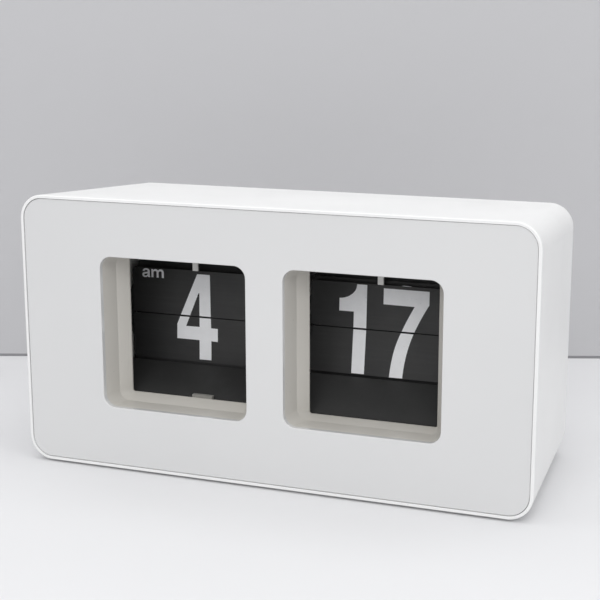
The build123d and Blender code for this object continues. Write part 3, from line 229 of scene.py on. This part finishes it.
def gloss_panel():
    """High gloss face: faint flow waves, hairline scuffs, and a clear top skin."""
    skin = Skin("panel_gloss", 0.16, Coat_Weight=0.7, Coat_Roughness=0.05, Specular_IOR_Level=0.5)
    slow = skin.spread(skin.noise(9.0, 3.0), 0.3, 0.7)
    base = skin.blend(slow, (0.652, 0.653, 0.655), (0.678, 0.678, 0.678))
    dust = skin.spread(skin.noise(1300.0, 1.0, offset=2.0), 0.74, 0.80)
    skin.colour(skin.blend(skin.maths(dust, 0.15), base, (0.50, 0.50, 0.50)))
    scuffs = skin.noise(700.0, 3.0, 0.6, stretch=(0.08, 1.0, 1.0), offset=4.0)
    skin.rough(skin.spread(scuffs, 0.35, 0.75, 0.12, 0.26))
    skin.relief(skin.noise(16.0, 1.0, offset=9.0), 0.00006)
    return skin.relief(skin.noise(2500.0, 1.0), 0.0000012)


def leaf_film():
    """The flaps: thin black film with a faint sheen, fine rub lines and a little dust."""
    skin = Skin("leaf_black", 0.42, Specular_IOR_Level=0.5)
    slow = skin.spread(skin.noise(35.0, 4.0, offset=1.0), 0.3, 0.7)
    base = skin.blend(slow, (0.0240, 0.0240, 0.0245), (0.0320, 0.0315, 0.0310))
    lines = skin.spread(skin.noise(1100.0, 3.0, 0.6, stretch=(0.03, 1.0, 1.0)), 0.45, 0.8)
    base = skin.blend(skin.maths(lines, 0.35), base, (0.045, 0.045, 0.046))
    dust = skin.spread(skin.noise(1500.0, 1.0, offset=6.0), 0.75, 0.80)
    skin.colour(skin.blend(skin.maths(dust, 0.35), base, (0.16, 0.16, 0.155)))
    skin.rough(skin.spread(skin.noise(120.0, 4.0, 0.6, offset=8.0), 0.3, 0.7, 0.48, 0.60))
    skin.relief(skin.noise(45.0, 2.0, offset=3.0), 0.00004)
    return skin.relief(skin.noise(2200.0, 2.0), 0.000003)


def ink():
    """Screen-printed white: slightly uneven cover, fine mesh grain and worn pinholes."""
    skin = Skin("numeral_ink", 0.5, Specular_IOR_Level=0.4)
    cover = skin.spread(skin.noise(260.0, 4.0, 0.6), 0.3, 0.75)
    base = skin.blend(cover, (0.88, 0.885, 0.90), (0.95, 0.955, 0.97))
    holes = skin.spread(skin.noise(1700.0, 1.0, offset=5.0), 0.74, 0.79)
    skin.colour(skin.blend(skin.maths(holes, 0.5), base, (0.30, 0.30, 0.30)))
    skin.rough(skin.spread(skin.noise(400.0, 3.0, offset=2.0), 0.3, 0.7, 0.42, 0.58))
    return skin.relief(skin.noise(3000.0, 2.0), 0.000003)


def metal(name, colour, roughness, lines=(1.0, 1.0, 1.0), tarnish=0.25):
    """Worked metal: a slow tarnish, with fine streaks in its colour, gloss and relief."""
    skin = Skin(name, roughness, metallic=1.0)
    slow = skin.spread(skin.noise(70.0, 4.0, 0.6), 0.35, 0.7)
    streaks = skin.noise(1600.0, 3.0, 0.6, stretch=lines, offset=3.0)
    tint = skin.blend(slow, colour, shade(colour, 1.0 - tarnish))
    skin.colour(skin.blend(skin.spread(streaks, 0.35, 0.8), tint, shade(colour, 0.8)))
    skin.rough(skin.spread(streaks, 0.3, 0.75, roughness * 0.7, min(1.0, roughness * 1.5)))
    return skin.relief(streaks, 0.000006)


def rubber(name, colour, roughness, grain=900.0, depth=0.00003):
    """Matt rubber, foam or lead insulation: a dull bloom over an open grain."""
    skin = Skin(name, roughness, Sheen_Weight=0.15, Specular_IOR_Level=0.3)
    bloom = skin.spread(skin.noise(120.0, 5.0, 0.65), 0.3, 0.75)
    skin.colour(skin.blend(bloom, colour, tuple(min(1.0, c * 1.5 + 0.01) for c in colour)))
    wear = skin.noise(300.0, 3.0, offset=2.0)
    skin.rough(skin.spread(wear, 0.3, 0.7, roughness - 0.08, roughness + 0.08))
    return skin.relief(skin.noise(grain, 3.0, 0.6), depth)


def cell_jacket():
    """The cells' sleeves: dark, with a bright band, and bare metal at both ends of each cell."""
    skin = Skin("cell_jacket", 0.35, Coat_Weight=0.5, Coat_Roughness=0.15)
    low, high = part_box("battery_cell_1")
    sides = high - low
    name = "XYZ"[max(range(3), key=lambda i: sides[i])]
    start, end = (getattr(v, name.lower()) for v in (low, high))
    lengths = skin.maths(skin.maths(skin.axis(name), start, "SUBTRACT"), 1.0 / (end - start))
    along = skin.maths(lengths, 0.0, "FRACT")  # the place along a cell, from 0 to 1
    band = skin.maths(skin.spread(along, 0.70, 0.704), skin.spread(along, 0.93, 0.926))
    bare = skin.spread(along, 0.955, 0.960)
    foot = skin.spread(along, 0.022, 0.018)
    slow = skin.spread(skin.noise(60.0, 4.0), 0.3, 0.7)
    sleeve = skin.blend(slow, (0.060, 0.075, 0.085), (0.085, 0.100, 0.110))
    sleeve = skin.blend(band, sleeve, (0.52, 0.36, 0.16))
    ends = skin.maths(bare, foot, "MAXIMUM")
    skin.colour(skin.blend(ends, sleeve, (0.66, 0.66, 0.65)))
    skin.links.new(ends, skin.shader.inputs["Metallic"])
    skin.rough(skin.spread(skin.noise(200.0, 4.0, offset=4.0), 0.3, 0.7, 0.26, 0.42))
    return skin.relief(skin.noise(500.0, 3.0, stretch=(1.0, 0.3, 0.3)), 0.00001)


def circuit_board():
    """Solder resist, brighter and raised over a regular grid of tracks."""
    skin = Skin("board_green", 0.28, Coat_Weight=0.4, Coat_Roughness=0.12)
    grid = skin.nodes.new("ShaderNodeTexBrick")
    grid.inputs["Scale"].default_value = 240.0
    grid.inputs["Mortar Size"].default_value = 0.06
    skin.links.new(skin.stretched((1.0, 1.0, 1.0), turn=(90, 0, 90)), grid.inputs["Vector"])
    tracks = skin.spread(grid.outputs["Fac"], 0.4, 0.6)
    slow = skin.spread(skin.noise(80.0, 4.0), 0.3, 0.7)
    resist = skin.blend(slow, (0.010, 0.085, 0.030), (0.016, 0.110, 0.042))
    skin.colour(skin.blend(tracks, resist, (0.030, 0.190, 0.070)))
    skin.rough(skin.spread(skin.noise(300.0, 3.0, offset=2.0), 0.3, 0.7, 0.22, 0.36))
    return skin.relief(tracks, 0.00003)


def make_skins():
    """One material for each of the record's slots."""
    along_x = (0.05, 1.0, 1.0)
    made = [
        plastic("case_white", (0.86, 0.86, 0.855), 0.40, Specular_IOR_Level=0.5),
        gloss_panel(),
        plastic(
            "bezel_white", (0.57, 0.55, 0.51), 0.34, grain=1900.0, depth=0.000004,
            Specular_IOR_Level=0.5,
        ),
        plastic("cover_white", (0.83, 0.83, 0.82), 0.50, grain=900.0, depth=0.000014),
        plastic("bay_white", (0.76, 0.76, 0.75), 0.45),
        leaf_film(),
        plastic("drum_black", (0.022, 0.022, 0.023), 0.42, drift=0.3),
        plastic("guard_black", (0.034, 0.034, 0.034), 0.60, drift=0.2),
        plastic("plate_white", (0.72, 0.72, 0.69), 0.42),
        plastic("catch_white", (0.90, 0.89, 0.86), 0.38),
        plastic("gear_nylon", (0.76, 0.73, 0.64), 0.36, grain=1100.0, Subsurface_Weight=0.06),
        metal("pinion_brass", (0.72, 0.50, 0.20), 0.25),
        metal("steel", (0.56, 0.56, 0.57), 0.28, along_x),
        metal("screw_steel", (0.66, 0.66, 0.67), 0.22, tarnish=0.15),
        metal("contact_metal", (0.72, 0.72, 0.70), 0.18, tarnish=0.15),
        metal("motor_metal", (0.55, 0.55, 0.55), 0.34, along_x),
        cell_jacket(),
        plastic("thumbwheel_grey", (0.11, 0.115, 0.12), 0.45, drift=0.2),
        rubber("foot_rubber", (0.045, 0.045, 0.046), 0.78),
        rubber("buffer_grey", (0.20, 0.195, 0.18), 0.85, grain=1400.0, depth=0.00008),
        circuit_board(),
        plastic("chip_black", (0.018, 0.018, 0.018), 0.55, grain=2600.0, depth=0.00001, drift=0.3),
        metal("crystal_can", (0.64, 0.64, 0.65), 0.30),
        rubber("lead_red", (0.36, 0.020, 0.015), 0.45, grain=500.0, depth=0.00001),
        rubber("lead_black", (0.020, 0.020, 0.020), 0.45, grain=500.0, depth=0.00001),
    ]
    return {skin.material.name: skin.material for skin in made}


def dress(obj, material):
    """obj wears this material and no other."""
    obj.data.materials.clear()
    obj.data.materials.append(material)


# --- numerals -----------------------------------------------------------------------------
# An outline is in millimetres, x across and z up from the table. A step of one point is a
# straight line, and a step of three is a curve with two handles.

def outline(start, *steps):
    """The points of a closed outline, without the first one again at the end."""
    points = [start]
    for step in steps:
        if isinstance(step[0], tuple):
            a = Vector((*points[-1], 0))
            b, c, d = (Vector((*p, 0)) for p in step)
            points += [(p.x, p.y) for p in interpolate_bezier(a, b, c, d, CURVE_POINTS)[1:]]
        else:
            points.append(step)
    return points[:-1] if math.dist(points[0], points[-1]) < 1e-6 else points


FOUR = [
    outline(
        (-43.08, 69.60), (-37.72, 69.60), (-37.40, 48.72), (-34.58, 48.68), (-34.64, 43.50),
        (-37.40, 43.55), (-37.50, 35.93), (-42.52, 35.88), (-42.44, 43.62), (-52.05, 43.60),
        (-51.92, 49.40),
    ),
    outline(
        (-42.62, 62.15), (-48.08, 48.82), (-42.30, 48.86), (-42.22, 62.15),
    ),
]
FIVE = [
    outline(
        (-49.60, 69.60), (-36.10, 69.60), (-36.10, 64.60), (-45.10, 64.60), (-45.55, 57.70),
        ((-44.50, 58.90), (-43.00, 59.40), (-41.40, 59.40)),
        ((-37.30, 59.40), (-34.80, 55.20), (-34.80, 48.20)),
        ((-34.80, 40.30), (-38.00, 35.60), (-43.20, 35.60)),
        ((-48.00, 35.60), (-51.00, 38.60), (-51.40, 44.20)), (-46.50, 44.80),
        ((-46.30, 41.90), (-45.20, 40.30), (-43.20, 40.30)),
        ((-40.90, 40.30), (-39.90, 43.00), (-39.90, 47.90)),
        ((-39.90, 52.60), (-40.90, 54.90), (-42.90, 54.90)),
        ((-44.30, 54.90), (-45.30, 54.20), (-45.90, 52.90)), (-50.60, 53.40),
    ),
]
ONE = [
    outline(
        (15.35, 64.80), ((17.90, 64.85), (20.10, 66.05), (21.35, 67.70)),
        ((21.90, 68.45), (22.15, 69.30), (22.22, 70.38)), (26.14, 70.38), (25.76, 36.86),
        (20.78, 36.86), (21.00, 60.02), (15.29, 60.02),
    ),
]
SEVEN = [
    outline(
        (32.55, 69.62), (49.99, 69.55), (49.96, 64.50),
        ((48.75, 62.60), (46.35, 58.30), (44.50, 54.00)),
        ((42.35, 48.90), (41.05, 43.00), (40.66, 36.68)), (35.55, 36.60),
        ((36.05, 43.30), (37.20, 48.60), (39.50, 53.60)),
        ((41.00, 57.10), (42.80, 60.55), (44.44, 63.58)), (32.51, 63.68),
    ),
]
EIGHT = [
    outline(
        (41.30, 69.90), ((46.40, 69.90), (49.30, 66.60), (49.30, 61.60)),
        ((49.30, 58.10), (47.90, 55.60), (45.70, 54.30)),
        ((48.40, 52.80), (50.00, 49.90), (50.00, 46.00)),
        ((50.00, 40.00), (46.70, 36.30), (41.30, 36.30)),
        ((35.90, 36.30), (32.60, 40.00), (32.60, 46.00)),
        ((32.60, 49.90), (34.20, 52.80), (36.90, 54.30)),
        ((34.70, 55.60), (33.30, 58.10), (33.30, 61.60)),
        ((33.30, 66.60), (36.20, 69.90), (41.30, 69.90)),
    ),
    outline(
        (41.30, 65.60), ((39.20, 65.60), (38.30, 64.10), (38.30, 61.20)),
        ((38.30, 58.20), (39.20, 56.60), (41.30, 56.60)),
        ((43.40, 56.60), (44.30, 58.20), (44.30, 61.20)),
        ((44.30, 64.10), (43.40, 65.60), (41.30, 65.60)),
    ),
    outline(
        (41.30, 52.00), ((38.80, 52.00), (37.70, 50.00), (37.70, 46.20)),
        ((37.70, 42.40), (38.80, 40.60), (41.30, 40.60)),
        ((43.80, 40.60), (44.90, 42.40), (44.90, 46.20)),
        ((44.90, 50.00), (43.80, 52.00), (41.30, 52.00)),
    ),
]
LETTER_A = [
    outline(
        (-63.42, 67.00), (-63.55, 67.60), (-63.55, 69.15),
        ((-63.55, 70.10), (-64.20, 70.45), (-65.10, 70.45)),
        ((-66.00, 70.45), (-66.60, 70.05), (-66.68, 69.35)), (-65.85, 69.25),
        ((-65.80, 69.62), (-65.50, 69.80), (-65.15, 69.80)),
        ((-64.70, 69.80), (-64.50, 69.62), (-64.50, 69.35)),
        ((-64.50, 69.05), (-64.90, 69.02), (-65.40, 68.96)),
        ((-66.30, 68.86), (-66.85, 68.60), (-66.85, 67.90)),
        ((-66.85, 67.30), (-66.40, 66.92), (-65.75, 66.92)),
        ((-65.20, 66.92), (-64.80, 67.05), (-64.45, 67.42)), (-64.32, 67.00),
    ),
    outline(
        (-64.52, 68.45), ((-64.80, 68.36), (-65.10, 68.36), (-65.40, 68.30)),
        ((-65.80, 68.22), (-66.00, 68.12), (-66.00, 67.86)),
        ((-66.00, 67.62), (-65.80, 67.52), (-65.55, 67.52)),
        ((-64.95, 67.52), (-64.52, 67.82), (-64.52, 68.45)),
    ),
]
LETTER_M = [
    outline(
        (-62.85, 67.05), (-62.85, 70.30), (-62.05, 70.30), (-62.00, 69.90),
        ((-61.75, 70.20), (-61.40, 70.40), (-61.00, 70.40)),
        ((-60.50, 70.40), (-60.15, 70.20), (-59.95, 69.85)),
        ((-59.70, 70.20), (-59.30, 70.40), (-58.85, 70.40)),
        ((-58.00, 70.40), (-57.45, 69.95), (-57.45, 69.10)), (-57.45, 67.05), (-58.35, 67.05),
        (-58.35, 68.95), ((-58.35, 69.40), (-58.55, 69.60), (-58.95, 69.60)),
        ((-59.40, 69.60), (-59.70, 69.35), (-59.70, 68.85)), (-59.70, 67.05), (-60.60, 67.05),
        (-60.60, 68.95), ((-60.60, 69.40), (-60.80, 69.60), (-61.20, 69.60)),
        ((-61.65, 69.60), (-61.95, 69.35), (-61.95, 68.85)), (-61.95, 67.05),
    ),
]


def leaf_face(node, facing, over=None):
    """(middle of the hinge-side edge, direction along the leaf away from it, outward normal) of
    a leaf's broad face, the one that looks along facing on Y. In a pack of leaves it is the
    foremost of those over a height, and the edge is that leaf's lower one."""
    mesh = NODES[node].data
    broad = [p for p in mesh.polygons if p.area > BROAD_FACE and p.normal.y * facing > 0.5]
    if over is None:
        best = max(broad, key=lambda p: p.area)
    else:
        broad = [p for p in broad if p.center.z > over]
        level = over + HALF_LEAF
        best = min(broad, key=lambda p: depth_at(p, level))
    normal = best.normal.copy()
    up = Vector((0, normal.z, -normal.y))
    up = up if up.z > 0 else -up
    rising = node.endswith("upper_leaf") or over is not None
    along = up if rising else -up
    same = [p for p in broad if in_plane(p, best)]
    corners = [mesh.vertices[i].co for p in same for i in p.vertices]
    start = min(corner.dot(along) for corner in corners)
    edge = best.center + along * (start - best.center.dot(along))
    return edge, along, normal


def depth_at(face, level):
    """Y of a face's plane at a height."""
    return face.center.y - (level - face.center.z) * face.normal.z / face.normal.y


def in_plane(face, other):
    """Whether a face lies in another one's plane."""
    away = (face.center - other.center).dot(other.normal)
    return away**2 < 1e-12 and face.normal.dot(other.normal) > 0.9999


def flat_mesh(outlines):
    """A closed flat solid, 1 unit thick about z = 0, of outlines laid in x and y."""
    data = bpy.data.curves.new("glyph", "CURVE")
    data.dimensions = "2D"
    data.fill_mode = "BOTH"
    data.extrude = 0.5
    for points in outlines:
        line = data.splines.new("POLY")
        line.points.add(len(points) - 1)
        for point, (x, z) in zip(line.points, points):
            point.co = (x, z, 0, 1)
        line.use_cyclic_u = True
    temporary = bpy.data.objects.new("glyph", data)
    solid = bmesh.new()
    mesh = bpy.data.meshes.new_from_object(temporary)
    solid.from_mesh(mesh)
    bpy.data.objects.remove(temporary)
    bpy.data.curves.remove(data)
    bpy.data.meshes.remove(mesh)
    bmesh.ops.remove_doubles(solid, verts=solid.verts, dist=0.002)
    return solid


def cut_level(solid, level, keep):
    """Keeps what is over (keep = 1) or under (keep = -1) a level of a flat solid, closed again."""
    everything = [*solid.verts, *solid.edges, *solid.faces]
    place, away = (0, level, 0), (0, -keep, 0)
    cut = bmesh.ops.bisect_plane(
        solid, geom=everything, dist=1e-5, plane_co=place, plane_no=away, clear_outer=True
    )
    edges = [e for e in cut["geom_cut"] if isinstance(e, bmesh.types.BMEdge)]
    bmesh.ops.holes_fill(solid, edges=edges, sides=0)


def print_on(name, glyphs, node, body, split=None, half=1, facing=-1, over=None):
    """Prints a half of the glyphs, 1 for the upper and -1 for the lower one, on a leaf's face.
    They part at the split height, and the print runs along the leaf from its hinge-side edge.
    On a leaf of a pack, which over picks, the upper half is cut off at the leaf's lower edge
    instead. It stands NEXT_DROP lower than the shown print, which keeps it hidden."""
    edge, along, normal = leaf_face(node, facing, over)
    level = split if over is None else edge.z + NEXT_DROP
    steep = 1.0 if over is None else along.z
    solid = bmesh.new()
    for outlines in glyphs:
        part = flat_mesh(outlines)
        cut_level(part, (level + half * PRINT_MARGIN) / MM, half)
        piece = bpy.data.meshes.new("part")
        part.to_mesh(piece)
        solid.from_mesh(piece)
        part.free()
        bpy.data.meshes.remove(piece)
    for v in solid.verts:
        away = abs(v.co.y * MM - level) / steep
        place = edge + along * away
        place.x = v.co.x * MM
        v.co = place + normal * (INK_PROUD if v.co.z > 0 else -INK_SUNK)
    bmesh.ops.recalc_face_normals(solid, faces=solid.faces)
    mesh = bpy.data.meshes.new(name)
    solid.to_mesh(mesh)
    solid.free()
    obj = bpy.data.objects.new(name, mesh)
    bpy.context.scene.collection.objects.link(obj)
    dress(obj, SKINS["numeral_ink"])
    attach(obj, body)


def print_numerals():
    """The numerals that show, and those that show once a leaf has fallen."""
    for side, now, then, tag in (
        ("hour", [FOUR], [FIVE], [LETTER_A, LETTER_M]),
        ("minute", [ONE, SEVEN], [ONE, EIGHT], []),
    ):
        upper, lower, pack = f"{side}_upper_leaf", f"{side}_lower_leaf", f"{side}_leaf_pack"
        leaf, numeral = f"{side}_leaf", f"{side}_numeral"
        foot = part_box(upper)[0].z
        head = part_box(lower)[1].z
        middle = (foot + head) / 2
        print_on(f"{numeral}_upper", now, upper, leaf, split=foot)
        print_on(f"{numeral}_lower", now, lower, "clock", split=head, half=-1)
        print_on(f"{numeral}_behind", then, upper, leaf, split=head, half=-1, facing=1)
        print_on(f"{numeral}_next", then, pack, "clock", over=middle)
        if tag:
            print_on(f"{side}_tag", tag, upper, leaf, split=foot)
            print_on(f"{side}_tag_next", tag, pack, "clock", over=middle)


# --- stage and light ----------------------------------------------------------------------

def sheet(name, corners, material):
    """A flat stage sheet through these corners."""
    mesh = bpy.data.meshes.new(name)
    mesh.from_pydata(corners, [], [tuple(range(len(corners)))])
    obj = bpy.data.objects.new(name, mesh)
    bpy.context.scene.collection.objects.link(obj)
    dress(obj, material)


def paper(name, colour, see_through_back=False):
    """Matt backdrop paper. Its back can let the view through, so that it never hides the clock."""
    skin = Skin(name, 0.7, Specular_IOR_Level=0.3)
    slow = skin.spread(skin.noise(3.0, 3.0), 0.3, 0.7)
    skin.colour(skin.blend(slow, shade(colour, 0.985), colour))
    skin.rough(skin.spread(skin.noise(40.0, 4.0), 0.3, 0.7, 0.62, 0.78))
    skin.relief(skin.noise(500.0, 3.0), 0.00002)
    if see_through_back:
        clear = skin.nodes.new("ShaderNodeBsdfTransparent")
        side = skin.nodes.new("ShaderNodeNewGeometry")
        mix = skin.nodes.new("ShaderNodeMixShader")
        skin.links.new(side.outputs["Backfacing"], mix.inputs["Fac"])
        skin.links.new(skin.shader.outputs["BSDF"], mix.inputs[1])
        skin.links.new(clear.outputs["BSDF"], mix.inputs[2])
        skin.links.new(mix.outputs["Shader"], skin.nodes["Material Output"].inputs["Surface"])
    return skin.material


def upright_sheet(name, foot, along, height, material):
    """A stage sheet that stands on the floor, from foot - along to foot + along."""
    up = Vector((0, 0, height))
    sheet(name, [foot - along, foot + along, foot + along + up, foot - along + up], material)


def make_stage():
    """A pale table, and a wall close behind the clock, square to the camera, with a line of
    painted shade where they meet.
    """
    low = CAD_BOX[0].z
    far = FLOOR_REACH
    corners = [(-far, -far, low), (far, -far, low), (far, far, low), (-far, far, low)]
    sheet("floor", corners, paper("floor_paper", (0.745, 0.745, 0.755)))
    yaw = math.radians(CAMERA_YAW)
    along = Vector((math.cos(yaw), math.sin(yaw), 0)) * WALL_REACH
    foot = Vector((*WALL_FOOT, low))
    wall = paper("wall_paper", (0.525, 0.523, 0.536), see_through_back=True)
    upright_sheet("wall", foot, along, WALL_HEIGHT, wall)
    nearer = Vector((math.sin(yaw), -math.cos(yaw), 0)) * PAINTED_SHADE_LINE_AHEAD
    # a low dark sheet just in front of the wall's foot: painted shade in the corner between wall
    # and floor
    painted_shade_line = paper("painted_shade_line_paper", (0.26, 0.26, 0.27), see_through_back=True)
    upright_sheet("painted_shade_line", foot + nearer, along, PAINTED_SHADE_LINE_HEIGHT, painted_shade_line)


def area_light(name, place, target, size, power):
    """A white softbox that looks at a target."""
    data = bpy.data.lights.new(name, "AREA")
    data.shape = "RECTANGLE"
    data.size, data.size_y = size
    data.energy = power
    obj = bpy.data.objects.new(name, data)
    bpy.context.scene.collection.objects.link(obj)
    place, target = Vector(place), Vector(target)
    turn = (target - place).to_track_quat("-Z", "Y").to_matrix().to_4x4()
    obj.matrix_world = Matrix.Translation(place) @ turn


def make_light():
    """A pale room, and softboxes overhead, in front and on both sides."""
    world = bpy.data.worlds.new("room")
    world.use_nodes = True
    background = world.node_tree.nodes["Background"]
    background.inputs["Color"].default_value = (*ROOM_COLOUR, 1.0)
    background.inputs["Strength"].default_value = ROOM_STRENGTH
    bpy.context.scene.world = world
    for light in LIGHTS:
        area_light(*light)
    bpy.context.scene.view_settings.view_transform = "Standard"
    bpy.context.scene.view_settings.look = "None"


# --- making it ----------------------------------------------------------------------------

make_camera()
for imported in list(bpy.data.materials):
    bpy.data.materials.remove(imported)
SKINS = {**make_skins(), "numeral_ink": ink().material}
for part in frame["record"]["subparts"]:
    dress(NODES[part["node"]], SKINS[part["material_slot"]])
print_numerals()
make_stage()
make_light()
